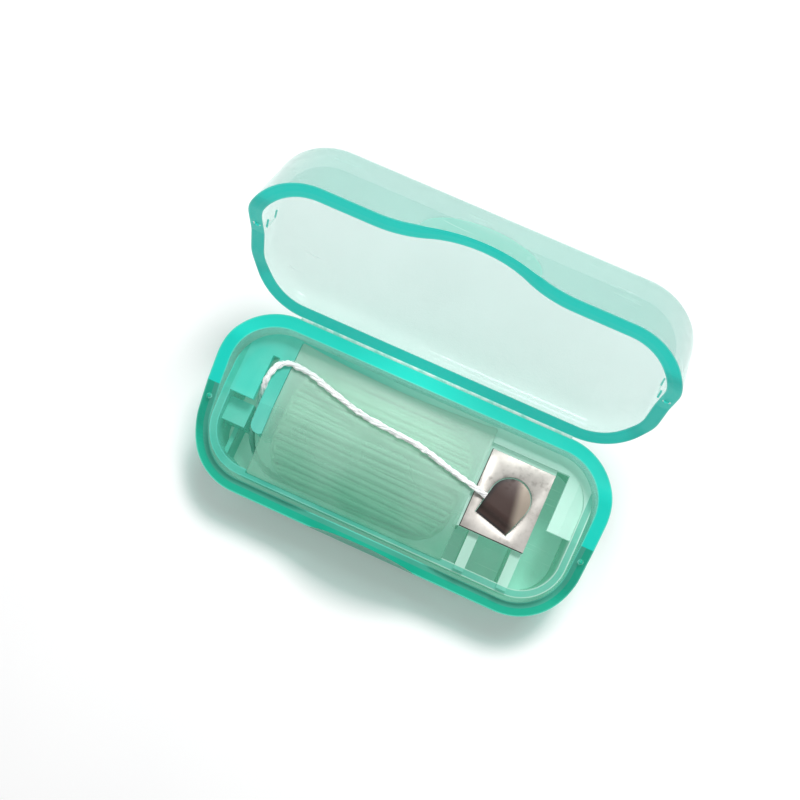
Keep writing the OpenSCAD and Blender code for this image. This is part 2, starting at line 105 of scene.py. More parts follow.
bpy.ops.object.camera_add(
    location=CAMERA_PLACE,
    rotation=[math.radians(angle) for angle in CAMERA_TURN],
)
camera = bpy.context.object
camera.data.lens = CAMERA_LENS
camera.data.sensor_width = SENSOR_WIDTH
bpy.context.scene.camera = camera

# %% [markdown]
# The free floss leaves the winding at the front, rounds the divider bar,
# climbs through the exit slot and runs over the cover to the cutter. The route
# is the one that the frame was built with, smoothed in the same way, so that
# the yarn lies exactly where its solid does.

# %% Route of the free floss
LEAD_ROUTE = [
    (-16.7, -8.85, 2.0), (-17.3, -8.85, 2.0), (-17.9, -8.85, 2.0),
    (-19.6, -8.5, 2.5), (-21.6, -7.5, 3.9),
    (-23.1, -5.6, 5.9), (-23.8, -3.4, 8.0), (-23.8, -1.2, 10.2), (-23.8, 0.8, 12.3),
    (-23.8, 2.3, 14.0), (-23.7, 3.7, 15.3), (-23.4, 5.2, 15.7), (-22.7, 6.7, 15.6),
    (-21.3, 7.4, 15.5), (-19.2, 7.4, 15.4), (-16.8, 7.0, 15.4), (-13.2, 6.0, 15.4),
    (-8.1, 4.8, 15.4), (-3.0, 4.3, 15.4), (2.1, 3.9, 15.4), (7.1, 2.7, 15.4),
    (11.4, 1.8, 15.4), (12.9, 1.5, 15.1), (14.3, 1.2, 14.87), (15.2, 1.0, 14.87),
]


def between(before, start, end, after, share):
    """Point of the smooth line through start and end."""
    return 0.5 * (
        2 * start
        + (end - before) * share
        + (2 * before - 5 * start + 4 * end - after) * share**2
        + (3 * start - before - 3 * end + after) * share**3
    )


def smooth_line(points, steps):
    points = [Vector(point) * MM for point in points]
    last = len(points) - 1
    line = []
    for i in range(last):
        around = (points[max(i - 1, 0)], points[i], points[i + 1], points[min(i + 2, last)])
        line += [between(*around, step / steps) for step in range(steps)]
    return line + [points[last]]


def line_length(line):
    return sum((b - a).length for a, b in zip(line, line[1:]))


lead_line = smooth_line(LEAD_ROUTE, 8)

# %% [markdown]
# Floss is a bundle of fine filaments with a lazy twist, so a plain tube looks
# like wire. Six plies wind round the route, each swelling and thinning on its
# own, and loose filaments lift from them. They are thin curves, made one mesh.

# %% Yarn of the free floss
PLIES = 6
PLY_R = 0.19 * MM
PLY_OUT = 0.25 * MM
TWIST_LENGTH = 9 * MM
LOOSE_FIBRES = 70
FIBRE_R = 0.025 * MM


def frame_at(line, i):
    """Directions across and up from the line at its point i."""
    ahead = (line[min(i + 1, len(line) - 1)] - line[max(i - 1, 0)]).normalized()
    across = ahead.cross(Vector((0, 0, 1))).normalized()
    return across, across.cross(ahead)


def ripple(seed, along):
    """Value from -1 to 1 that wanders along a line and repeats each run."""
    return (
        math.sin(seed * 12.9898 + along * 1.7)
        + math.sin(seed * 78.233 + along * 0.61)
        + math.sin(seed * 37.719 + along * 4.3)
    ) / 3


def add_strand(curve, points, radii):
    strand = curve.splines.new("POLY")
    strand.points.add(len(points) - 1)
    for spot, point, radius in zip(strand.points, points, radii):
        spot.co = (*point, 1)
        spot.radius = radius


def new_curve(name, depth, rounds):
    curve = bpy.data.curves.new(name, "CURVE")
    curve.dimensions = "3D"
    curve.bevel_depth = depth
    curve.bevel_resolution = rounds
    curve.use_fill_caps = True
    piece = bpy.data.objects.new(name, curve)
    bpy.context.scene.collection.objects.link(piece)
    return piece


def ply_points(line, ply):
    points, radii = [], []
    along = 0.0
    for i, centre in enumerate(line):
        if i:
            along += (centre - line[i - 1]).length
        across, up = frame_at(line, i)
        turn = math.tau * (ply / PLIES + along / TWIST_LENGTH) + 0.5 * ripple(ply, along / MM)
        flat = 1.08 + 0.3 * ripple(9, along / MM)
        out = PLY_OUT * (1 + 0.32 * ripple(ply + 3, along / MM))
        points.append(centre + out * (flat * math.cos(turn) * across + math.sin(turn) * up / flat))
        radii.append(1 + 0.25 * ripple(ply + 7, along / MM))
    return points, radii


def loose_fibre(line, number):
    start = int((number * 0.618034 % 1) * (len(line) - 16)) + 4
    span = 4 + number % 7
    lift = (0.42 + 0.22 * abs(ripple(number, 2.0))) * MM
    side = math.tau * (number * 0.38197 % 1)
    points = []
    for step in range(span + 1):
        i = start + step
        across, up = frame_at(line, i)
        rise = PLY_OUT + (lift - PLY_OUT) * math.sin(math.pi * step / span)
        angle = side + 0.5 * step / span
        points.append(line[i] + rise * (math.cos(angle) * across + abs(math.sin(angle)) * up))
    return points, [FIBRE_R / PLY_R] * len(points)


floss_free = new_curve("floss_free_end", PLY_R, 2)
for ply in range(PLIES):
    add_strand(floss_free.data, *ply_points(lead_line, ply))
for number in range(LOOSE_FIBRES):
    add_strand(floss_free.data, *loose_fibre(lead_line, number))
pick(floss_free)
bpy.ops.object.convert(target="MESH")
floss_free = settle(bpy.context.object, "floss_free_end")
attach(floss_free, "base")
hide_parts("floss_lead")

# %% [markdown]
# The wound floss is one strand. It climbs round the block of packed turns and
# then runs to and fro across its top in two layers, a close one and a looser
# one, which is what shows through the cover. Worked out point by point, it
# stays unbroken, and each run sways a little, as machine-laid yarn does.

# %% Winding
STRAND_R = 0.38 * MM
TURN_PITCH = 0.62 * MM
POINTS_PER_TURN = 24
CORNER_R = 5.5 * MM
FRONT_MIDDLE = 17
END_INSET = 0.2 * MM
END_DROOP = 0.45 * MM
RUN_STOPS = (-1, -0.97, -0.9, -0.6, -0.2, 0.2, 0.6, 0.9, 0.97, 1)
middle = Vector((-4.65, 0.225, 0)) * MM
half_x = 14.85 * MM
half_y = 9.075 * MM
first_z = 2.0 * MM
last_z = 11.1 * MM
side_turns = (last_z - first_z) / TURN_PITCH
# First run, last run, pitch, height, how far runs tilt, and the seed of their sway
CLOSE_LAYER = (-8.5 * MM, 8.5 * MM, 0.7 * MM, 11.5 * MM, 0.03, 3)
LOOSE_LAYER = (7.6 * MM, -7.6 * MM, 1.15 * MM, 11.92 * MM, 0.06, 6)


def turn_point(step, x, y, radius):
    """Point of a round-cornered turn: five round each corner, one on each side."""
    quarter = step // 6 % 4
    part = step % 6
    side_x = 1 if quarter in (0, 3) else -1
    side_y = 1 if quarter < 2 else -1
    if part == 5:
        return [(0, y), (-x, 0), (0, -y), (x, 0)][quarter]
    angle = math.radians(quarter * 90 + part * 22.5)
    return (
        side_x * (x - radius) + radius * math.cos(angle),
        side_y * (y - radius) + radius * math.sin(angle),
    )


def side_points():
    """The turns up the side, which end at the front left."""
    points = [Vector(LEAD_ROUTE[0]) * MM]
    for step in range(int(side_turns) * POINTS_PER_TURN):
        turn = step / POINTS_PER_TURN
        x, y = turn_point(step + FRONT_MIDDLE, half_x, half_y, CORNER_R)
        sink = 0.1 * MM * ripple(8, turn * 3.1)
        points.append(middle + Vector((x, y, first_z + turn * TURN_PITCH + min(sink, 0))))
    return points


def layer_points(first_y, last_y, pitch, height, tilt, seed):
    """Runs to and fro along the top, whose ends follow the rounded outline."""
    points = []
    runs = int(abs(last_y - first_y) / pitch)
    for run in range(runs):
        y = first_y + (last_y - first_y) * (run + 0.5) / runs
        past = max(0, abs(y) - (half_y - CORNER_R))
        reach = half_x - CORNER_R + math.sqrt(CORNER_R**2 - past**2) - END_INSET
        reach *= 1 - 0.03 * abs(ripple(seed, run * 2.3))
        way = 1 if run % 2 else -1
        for stop in RUN_STOPS:
            x = way * stop * reach
            sway = tilt * ripple(seed + 4, run * 0.31) * x + 0.12 * MM * ripple(seed + run, stop * 2)
            droop = END_DROOP * max(0, abs(stop) - 0.9) / 0.1
            points.append(middle + Vector((x, y + sway, height - droop)))
    return points


wound = side_points() + layer_points(*CLOSE_LAYER) + layer_points(*LOOSE_LAYER)
floss_wound = new_curve("floss_winding_turns", STRAND_R, 2)
add_strand(floss_wound.data, wound, [1] * len(wound))
pick(floss_wound)
bpy.ops.object.convert(target="MESH")
floss_wound = settle(bpy.context.object, "floss_winding_turns")
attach(floss_wound, "base")
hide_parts("floss_winding")
print(f"{line_length(wound):.2f} m of floss in the outer turns")

# %% [markdown]
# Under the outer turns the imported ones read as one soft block. It starts as a
# box at the size of its solid, and its upright edges and its top are bevelled
# wide enough to take the winding's own corner radius.

# %% Packed turns
core_low, core_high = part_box("floss_core")
CORE_CORNER_R = CORNER_R - 0.6 * MM
TOP_ROUND = 0.5 * MM


def select_edges(piece, wanted):
    """Selects the edges whose two end points pass the test, in edit mode."""
    bpy.ops.object.mode_set(mode="EDIT")
    bpy.ops.mesh.select_mode(type="EDGE")
    bpy.ops.mesh.select_all(action="DESELECT")
    bpy.ops.object.mode_set(mode="OBJECT")
    points = [vertex.co for vertex in piece.data.vertices]
    for edge in piece.data.edges:
        a, b = (points[i] for i in edge.vertices)
        edge.select = wanted(a, b)
    bpy.ops.object.mode_set(mode="EDIT")


core_size = core_high - core_low
bpy.ops.object.select_all(action="DESELECT")
bpy.ops.mesh.primitive_cube_add(size=1, location=(core_low + core_high) / 2, scale=core_size)
packed = bpy.context.object
bpy.ops.object.transform_apply(location=True, rotation=True, scale=True)
select_edges(packed, lambda a, b: abs(a.z - b.z) > core_size.z / 2)
bpy.ops.mesh.bevel(offset=CORE_CORNER_R, segments=10, affect="EDGES")
bpy.ops.object.mode_set(mode="OBJECT")
select_edges(packed, lambda a, b: min(a.z, b.z) > core_high.z - 0.01 * MM)
bpy.ops.mesh.bevel(offset=TOP_ROUND, segments=4, affect="EDGES")
bpy.ops.object.mode_set(mode="OBJECT")
packed = settle(packed, "floss_packed_turns")
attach(packed, "base")
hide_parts("floss_core")

# %% [markdown]
# The cutter is a stamped plate. Its solid has the right shape but knife-sharp
# corners, so a copy is welded, cleared of its extra triangles and given a
# small bevel, which is where real metal catches the light.

# %% Cutter
BURR = 0.045 * MM
WELD_GAP = 0.002 * MM
FLAT_ANGLE = math.radians(1)
BEVEL_ANGLE = math.radians(50)

blade = bpy.data.objects.new("cutter_blade", nodes["cutter_plate"].data.copy())
bpy.context.scene.collection.objects.link(blade)
pick(blade)
bpy.ops.object.mode_set(mode="EDIT")
bpy.ops.mesh.select_all(action="SELECT")
bpy.ops.mesh.remove_doubles(threshold=WELD_GAP)
bpy.ops.mesh.dissolve_limited(angle_limit=FLAT_ANGLE)
bpy.ops.object.mode_set(mode="OBJECT")
edge_round = blade.modifiers.new("edge_round", "BEVEL")
edge_round.width = BURR
edge_round.segments = 2
edge_round.limit_method = "ANGLE"
edge_round.angle_limit = BEVEL_ANGLE
apply_modifiers(blade)
blade = settle(blade, "cutter_blade")
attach(blade, "base")
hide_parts("cutter_plate")

# %% [markdown]
# The two shells are one moulding, and the strip between them is thin enough
# to bend. It is made as a grid whose rows follow a small arc from one wall to
# the other, and it blends from the base to the lid.

# %% Hinge film
base_low, base_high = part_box("hinge_film_base")
FILM_T = 0.2 * MM
FILM_ROWS = 8
FILM_COLUMNS = 24
film_start = Vector((0, 13.88, 18.47)) * MM
film_bend = Vector((0, 14.04, 18.66)) * MM
film_end = Vector((0, 14.27, 18.62)) * MM
film_length = base_high.x - base_low.x

bpy.ops.object.select_all(action="DESELECT")
bpy.ops.mesh.primitive_grid_add(x_subdivisions=FILM_COLUMNS, y_subdivisions=FILM_ROWS, size=1)
film = bpy.context.object
for vertex in film.data.vertices:
    share = vertex.co.y + 0.5
    row = film_start.lerp(film_bend, share).lerp(film_bend.lerp(film_end, share), share)
    vertex.co = (vertex.co.x * film_length, row.y, row.z)
thickness = film.modifiers.new("thickness", "SOLIDIFY")
thickness.thickness = FILM_T
thickness.offset = 0
apply_modifiers(film)
film = settle(film, "hinge_film")
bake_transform(film)
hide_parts("hinge_film_base", "hinge_film_lid")

# %% [markdown]
# Now the finishes. Colours are written as they look on screen, from 0 to 255,
# and turned into the linear values that shaders work in. A short helper adds
# a node, fills its sockets and links what is handed to it.

# %% Material helpers


def paint(red, green, blue):
    """Linear colour from the values that a screen shows."""
    shares = [value / 255 for value in (red, green, blue)]
    return [s / 12.92 if s <= 0.04045 else ((s + 0.055) / 1.055) ** 2.4 for s in shares] + [1]


def add_node(tree, kind, inputs=None, **settings):
    node = tree.nodes.new(kind)
    for name, value in settings.items():
        setattr(node, name, value)
    for name, value in (inputs or {}).items():
        if isinstance(value, bpy.types.NodeSocket):
            tree.links.new(value, node.inputs[name])
        else:
            node.inputs[name].default_value = value
    return node


def maths(tree, operation, first, second=0.0, third=0.0):
    node = add_node(tree, "ShaderNodeMath", {0: first, 1: second, 2: third}, operation=operation)
    return node.outputs[0]


def blend_colour(tree, share, first, second):
    node = add_node(tree, "ShaderNodeMix", {0: share, 6: first, 7: second}, data_type="RGBA")
    return node.outputs[2]


def ramp(tree, value, low, high, to_low=0.0, to_high=1.0, smooth=True):
    """Value taken from the span low to high into another span."""
    node = add_node(
        tree, "ShaderNodeMapRange", {0: value, 1: low, 2: high, 3: to_low, 4: to_high},
        interpolation_type="SMOOTHSTEP" if smooth else "LINEAR",
    )
    return node.outputs[0]


def new_group(name, inputs, outputs):
    group = bpy.data.node_groups.new(name, "ShaderNodeTree")
    for socket, kind, value in inputs:
        made = group.interface.new_socket(socket, in_out="INPUT", socket_type="NodeSocket" + kind)
        made.default_value = value
    for socket, kind in outputs:
        group.interface.new_socket(socket, in_out="OUTPUT", socket_type="NodeSocket" + kind)
    return group, group.nodes.new("NodeGroupInput"), group.nodes.new("NodeGroupOutput")


def place_group(tree, group, **inputs):
    return add_node(tree, "ShaderNodeGroup", inputs, node_tree=group).outputs


def patches(tree, vector, size, low=0.0, high=1.0):
    return place_group(tree, soft_patches, Vector=vector, Size=size, Low=low, High=high)["Value"]


def add_bump(tree, shader, height, strength, distance):
    bump = add_node(tree, "ShaderNodeBump", {"Height": height, "Strength": strength, "Distance": distance})
    tree.links.new(bump.outputs[0], shader.inputs["Normal"])


def see_through(tree, shader, output, share, tint):
    """Mixes the shader, by the share that is solid, with a tinted clear one."""
    clear = add_node(tree, "ShaderNodeBsdfTransparent", {"Color": tint})
    mixed = add_node(tree, "ShaderNodeMixShader", {0: share, 1: clear.outputs[0], 2: shader.outputs[0]})
    tree.links.new(mixed.outputs[0], output.inputs["Surface"])


def new_material(name):
    material = bpy.data.materials.new(name)
    material.use_nodes = True
    tree = material.node_tree
    return material, tree, tree.nodes["Principled BSDF"], tree.nodes["Material Output"]


def dress(material, *names):
    for name in names:
        piece = bpy.data.objects[name]
        piece.data.materials.clear()
        piece.data.materials.append(material)


# %% [markdown]
# Five effects are groups: soft patches that vary a value, the fine grain of a
# moulded face, hairline scratches, the mask of the rims, where light that runs
# inside the walls comes out, and the depth of a point inside the case's wall.

# %% Shared groups
CASE_CORNER_R = 9.8 * MM
CASE_STRAIGHT_X = 22.2 * MM
CASE_STRAIGHT_Y = 4.1 * MM


def make_patches():
    group, given, result = new_group(
        "soft_patches",
        [("Vector", "Vector", (0, 0, 0)), ("Size", "Float", 60), ("Low", "Float", 0), ("High", "Float", 1)],
        [("Value", "Float")],
    )
    noise = add_node(group, "ShaderNodeTexNoise", {
        "Vector": given.outputs["Vector"], "Scale": given.outputs["Size"], "Detail": 3, "Roughness": 0.5,
    })
    value = ramp(group, noise.outputs[0], 0.32, 0.68, given.outputs["Low"], given.outputs["High"])
    group.links.new(value, result.inputs["Value"])
    return group


def make_grain():
    group, given, result = new_group(
        "moulded_grain",
        [("Vector", "Vector", (0, 0, 0)), ("Size", "Float", 2500), ("Flow", "Float", 0.5)],
        [("Height", "Float")],
    )
    fine = add_node(group, "ShaderNodeTexNoise", {
        "Vector": given.outputs["Vector"], "Scale": given.outputs["Size"], "Detail": 2,
    })
    stretched = add_node(group, "ShaderNodeMapping", {
        "Vector": given.outputs["Vector"], "Scale": (60, 420, 420),
    })
    flow = add_node(group, "ShaderNodeTexNoise", {"Vector": stretched.outputs[0], "Scale": 1, "Detail": 2})
    height = maths(group, "MULTIPLY_ADD", flow.outputs[0], given.outputs["Flow"], fine.outputs[0])
    group.links.new(height, result.inputs["Height"])
    return group


def make_scratches():
    group, given, result = new_group(
        "hairline_scratches",
        [("Vector", "Vector", (0, 0, 0)), ("Turn", "Float", 0.5), ("Amount", "Float", 0.5)],
        [("Mask", "Float")],
    )
    angle = add_node(group, "ShaderNodeCombineXYZ", {"Z": given.outputs["Turn"]})
    turned = add_node(group, "ShaderNodeMapping", {
        "Vector": given.outputs["Vector"], "Rotation": angle.outputs[0], "Scale": (90, 3200, 900),
    })
    lines = add_node(group, "ShaderNodeTexNoise", {"Vector": turned.outputs[0], "Scale": 1, "Detail": 2})
    where = add_node(group, "ShaderNodeTexNoise", {
        "Vector": given.outputs["Vector"], "Scale": 130, "Detail": 1,
    })
    thin = ramp(group, lines.outputs[0], 0.62, 0.70)
    patch = ramp(group, where.outputs[0], 0.48, 0.62)
    mask = maths(group, "MULTIPLY", thin, patch)
    group.links.new(maths(group, "MULTIPLY", mask, given.outputs["Amount"]), result.inputs["Mask"])
    return group


def make_rim_mask():
    group, given, result = new_group(
        "rim_mask",
        [
            ("Vector", "Vector", (0, 0, 0)), ("Normal", "Vector", (0, 0, 1)),
            ("Up", "Vector", (0, 0, 1)), ("Level", "Float", 0),
        ],
        [("Mask", "Float")],
    )
    facing = add_node(
        group, "ShaderNodeVectorMath", {0: given.outputs["Normal"], 1: given.outputs["Up"]},
        operation="DOT_PRODUCT",
    )
    height = add_node(
        group, "ShaderNodeVectorMath", {0: given.outputs["Vector"], 1: given.outputs["Up"]},
        operation="DOT_PRODUCT",
    )
    above = maths(group, "SUBTRACT", height.outputs["Value"], given.outputs["Level"])
    upward = ramp(group, facing.outputs["Value"], 0.55, 0.65)
    high = ramp(group, above, 0, 0.4 * MM)
    group.links.new(maths(group, "MULTIPLY", upward, high), result.inputs["Mask"])
    return group


def make_wall_depth():
    """Distance in from the case's outline, and a mask of the faces inside it."""
    group, given, result = new_group(
        "wall_depth",
        [("Vector", "Vector", (0, 0, 0)), ("Bottom", "Float", 0), ("Top", "Float", 1)],
        [("Depth", "Float"), ("Inside", "Float")],
    )
    split = add_node(group, "ShaderNodeSeparateXYZ", {0: given.outputs["Vector"]})
    past_x = maths(group, "SUBTRACT", maths(group, "ABSOLUTE", split.outputs["X"]), CASE_STRAIGHT_X)
    past_y = maths(group, "SUBTRACT", maths(group, "ABSOLUTE", split.outputs["Y"]), CASE_STRAIGHT_Y)
    corner_x = maths(group, "POWER", maths(group, "MAXIMUM", past_x, 0.0), 2.0)
    corner_y = maths(group, "POWER", maths(group, "MAXIMUM", past_y, 0.0), 2.0)
    out = maths(group, "SQRT", maths(group, "ADD", corner_x, corner_y))
    short = maths(group, "MINIMUM", maths(group, "MAXIMUM", past_x, past_y), 0.0)
    depth = maths(group, "SUBTRACT", CASE_CORNER_R, maths(group, "ADD", out, short))
    deep = ramp(group, depth, 1.0 * MM, 1.1 * MM)
    over = maths(group, "GREATER_THAN", split.outputs["Z"], given.outputs["Bottom"])
    under = maths(group, "LESS_THAN", split.outputs["Z"], given.outputs["Top"])
    between_faces = maths(group, "MULTIPLY", over, under)
    group.links.new(depth, result.inputs["Depth"])
    group.links.new(maths(group, "MULTIPLY", deep, between_faces), result.inputs["Inside"])
    return group


soft_patches = make_patches()
moulded_grain = make_grain()
hairline_scratches = make_scratches()
rim_mask = make_rim_mask()
wall_depth = make_wall_depth()

# %% [markdown]
# Translucent plastic shows three things at once: its own milky colour, what
# lies behind it, tinted, and a bright rim. A Principled shader gives the
# first, a tinted Transparent shader the second, and the rim mask makes the
# cut faces solid and saturated. Each wall has two faces, so the share that
# is solid stays low on each of them. Both halves are measured where they lie
# in the shut case, so the lid is first turned back at the hinge. A weak glow
# on the inner faces, and on the base their paler colour, stand for light that
# the walls carry. The base's rim is painted in shade ahead of its kink, thin
# painted highlights line the rims' outer and inner edges, and the base's inner
# walls take the rim's colour towards their top.

# %% Case plastic
LID_UP = (0, -0.743, 0.669)
BASE_RIM_LEVEL = 8 * MM
LID_RIM_LEVEL = 0.63 * MM
KINK_Y = 0.2 * MM
CARRIED_LIGHT = 0.36
HINGE_LINE = Vector((0, 14.05, 18.64)) * MM
LID_TURN = math.radians(-132)
MID_FLOOR = 0.75 * MM
MID_CROWN = 22.3 * MM
FAR_OFF = 1.0
RIM_SOLID = 0.97
INNER_BAND = (1.15 * MM, 1.3 * MM)
OUTER_HIGHLIGHT_SPAN = (0.22 * MM, 0.1 * MM)
INNER_HIGHLIGHT_SPAN = (1.9 * MM, 2.0 * MM)
UPPER_WALL = (8 * MM, 14 * MM)
HOLLOW_BACK = (-13.89 * MM, -13.84 * MM)
HOLLOW_DEEPEST = -12.9 * MM
HOLLOW_HALF_X = 16.5 * MM
HOLLOW_TOP = 20.9 * MM


def closed_place(tree, vector, open_turn):
    """Place of a point when the case is shut, for a piece turned at the hinge."""
    unturned = add_node(
        tree, "ShaderNodeMapping",
        {"Vector": vector, "Location": HINGE_LINE, "Rotation": (open_turn, 0, 0)},
        vector_type="TEXTURE",
    )
    moved = add_node(
        tree, "ShaderNodeVectorMath", {0: unturned.outputs[0], 1: HINGE_LINE}, operation="ADD"
    )
    return moved.outputs[0]


def hollow_mask(tree, spot):
    """One in the thumb hollow of the front wall, which lies back from its flat."""
    back = ramp(tree, spot.outputs["Y"], *HOLLOW_BACK)
    front = maths(tree, "LESS_THAN", spot.outputs["Y"], HOLLOW_DEEPEST)
    middle_part = maths(tree, "LESS_THAN", maths(tree, "ABSOLUTE", spot.outputs["X"]), HOLLOW_HALF_X)
    low = maths(tree, "LESS_THAN", spot.outputs["Z"], HOLLOW_TOP)
    in_depth = maths(tree, "MULTIPLY", back, front)
    in_face = maths(tree, "MULTIPLY", middle_part, low)
    return maths(tree, "MULTIPLY", in_depth, in_face)


def case_plastic(name, up, level, open_turn, bottom, top, finish):
    material, tree, plastic, output = new_material(name)
    place = add_node(tree, "ShaderNodeTexCoord")
    vector = place.outputs["Object"]
    mask = place_group(
        tree, rim_mask, Vector=vector, Normal=place.outputs["Normal"], Up=up, Level=level
    )
    closed = closed_place(tree, vector, open_turn)
    spot = add_node(tree, "ShaderNodeSeparateXYZ", {0: closed})
    wall = place_group(tree, wall_depth, Vector=closed, Bottom=bottom, Top=top)
    cloud = patches(tree, vector, 55)
    scratch = place_group(tree, hairline_scratches, Vector=vector, Turn=0.4, Amount=0.35)["Mask"]
    scratch = maths(tree, "MULTIPLY", scratch, maths(tree, "SUBTRACT", 1.0, mask["Mask"]))
    # Painted shade: ahead of the kink the rim takes a darker colour, greyer on its inner part.
    ahead = ramp(tree, spot.outputs["Y"], KINK_Y + 0.05 * MM, KINK_Y - 0.05 * MM)
    inner_band = ramp(tree, wall["Depth"], *INNER_BAND)
    front_shade_colour = blend_colour(tree, inner_band, finish["front_rim_shade"], finish["front_inner_rim_shade"])
    rim_colour = blend_colour(tree, ahead, finish["rim"], front_shade_colour)
    # Painted highlights: thin pale lines along the rim's outer and inner edges.
    outer_highlight = ramp(tree, wall["Depth"], *OUTER_HIGHLIGHT_SPAN)
    inner_highlight = ramp(tree, wall["Depth"], *INNER_HIGHLIGHT_SPAN)
    line = maths(tree, "MAXIMUM", outer_highlight, inner_highlight)
    rim_colour = blend_colour(tree, maths(tree, "MULTIPLY", line, 0.6), rim_colour, finish["rim_highlight_line"])
    outer_wall = blend_colour(tree, cloud, finish["outer"], finish["outer_milky"])
    facing = add_node(tree, "ShaderNodeNewGeometry")
    behind = facing.outputs["Backfacing"]
    outer_wall = blend_colour(tree, behind, outer_wall, finish["outer_behind"])
    hollow = hollow_mask(tree, spot)
    outer_wall = blend_colour(tree, hollow, outer_wall, finish["hollow"])
    inner_wall = blend_colour(tree, cloud, finish["inner"], finish["inner_milky"])
    upper = ramp(tree, spot.outputs["Z"], *UPPER_WALL, 0.0, finish["upper_share"])
    inner_wall = blend_colour(tree, upper, inner_wall, finish["rim"])
    wall_colour = blend_colour(tree, wall["Inside"], outer_wall, inner_wall)
    colour = blend_colour(tree, mask["Mask"], wall_colour, rim_colour)
    colour = blend_colour(tree, maths(tree, "MULTIPLY", scratch, 0.5), colour, paint(235, 250, 246))
    tree.links.new(colour, plastic.inputs["Base Color"])
    rough = patches(tree, vector, 140, 0.14, 0.3)
    rough = maths(tree, "MULTIPLY_ADD", scratch, 0.25, rough)
    rough = maths(tree, "MULTIPLY_ADD", mask["Mask"], 0.3, rough)
    tree.links.new(rough, plastic.inputs["Roughness"])
    grain = place_group(tree, moulded_grain, Vector=vector, Size=1800, Flow=2.0)["Height"]
    add_bump(tree, plastic, grain, 0.12, 0.05 * MM)
    plastic.inputs["IOR"].default_value = 1.4
    plastic.inputs["Specular IOR Level"].default_value = 0.3
    gloss = maths(tree, "MULTIPLY_ADD", mask["Mask"], -0.8, 0.9)
    tree.links.new(gloss, plastic.inputs["Coat Weight"])
    plastic.inputs["Coat Roughness"].default_value = 0.12
    glow = blend_colour(tree, wall["Inside"], (0, 0, 0, 1), finish["glow"])
    glow = blend_colour(tree, maths(tree, "MAXIMUM", mask["Mask"], upper), glow, (0, 0, 0, 1))
    tree.links.new(glow, plastic.inputs["Emission Color"])
    plastic.inputs["Emission Strength"].default_value = CARRIED_LIGHT
    share = ramp(tree, wall["Inside"], 0, 1, finish["outer_solid"], finish["inner_solid"], smooth=False)
    in_front = maths(tree, "SUBTRACT", 1.0, maths(tree, "MAXIMUM", behind, wall["Inside"]))
    share = maths(tree, "MULTIPLY_ADD", in_front, finish["front_solid"], share)
    share = maths(tree, "MULTIPLY_ADD", cloud, 0.04, share)
    share = maths(tree, "MULTIPLY_ADD", scratch, 0.12, share)
    share = maths(tree, "MAXIMUM", share, maths(tree, "MULTIPLY", hollow, finish["hollow_solid"]))
    share = ramp(tree, mask["Mask"], 0, 1, share, RIM_SOLID, smooth=False)
    see_through(tree, plastic, output, share, finish["tint"])
    return material


LID_FINISH = {
    "outer": paint(84, 158, 144), "outer_milky": paint(104, 174, 160), "outer_solid": 0.28,
    "outer_behind": paint(172, 222, 210), "front_solid": 0.2,
    "inner": paint(234, 244, 241), "inner_milky": paint(242, 248, 246), "inner_solid": 0.2,
    "glow": paint(60, 66, 64), "upper_share": 0.0,
    "hollow": paint(84, 176, 158), "hollow_solid": 0.6,
    "rim": paint(20, 234, 218), "front_rim_shade": paint(20, 234, 218),
    "front_inner_rim_shade": paint(40, 234, 218), "rim_highlight_line": paint(130, 246, 232),
    "tint": (0.93, 0.98, 0.97, 1),
}
BASE_FINISH = {
    "outer": paint(70, 200, 178), "outer_milky": paint(96, 212, 192), "outer_solid": 0.28,
    "outer_behind": paint(84, 206, 185), "front_solid": 0.0,
    "inner": paint(140, 214, 192), "inner_milky": paint(164, 226, 206), "inner_solid": 0.45,
    "glow": paint(186, 232, 216), "upper_share": 0.85,
    "hollow": paint(40, 178, 152), "hollow_solid": 0.5,
    "rim": paint(0, 214, 196), "front_rim_shade": paint(0, 166, 136),
    "front_inner_rim_shade": paint(64, 162, 140), "rim_highlight_line": paint(110, 222, 200),
    "tint": (0.70, 0.95, 0.90, 1),
}
lid_plastic = case_plastic(
    "lid_plastic", LID_UP, LID_RIM_LEVEL, LID_TURN, -FAR_OFF, MID_CROWN, LID_FINISH
)
base_plastic = case_plastic(
    "base_plastic", (0, 0, 1), BASE_RIM_LEVEL, 0.0, MID_FLOOR, FAR_OFF, BASE_FINISH
)
dress(lid_plastic, "lid_shell")
dress(base_plastic, "base_shell")

# %% [markdown]
# The insert is a paler, milkier moulding. Light reaches it through the case,
# so it looks greener and deeper towards the left end and near the floor, and
# that drift is painted with broad gradients. A weak glow keeps it milky in the
# shade of the case. Its wall top is a saturated teal band with a thin painted
# highlight along the outer edge. The cover is clearer and painted in shade
# towards the front, and its cut edges are darker, both as cut edges and as
# painted shade in the gap behind the cover.

# %% Insert and cover
INSERT_GLOW = 0.14
INSERT_SOLID = 0.5
INSERT_TINT = (0.86, 0.97, 0.94, 1)
COVER_SOLID = 0.34
COVER_TINT = (0.90, 0.98, 0.95, 1)
INSERT_STRAIGHT_X = 22.2 * MM
INSERT_FRONT_Y = -3.9 * MM
INSERT_CORNER_R = 7.2 * MM


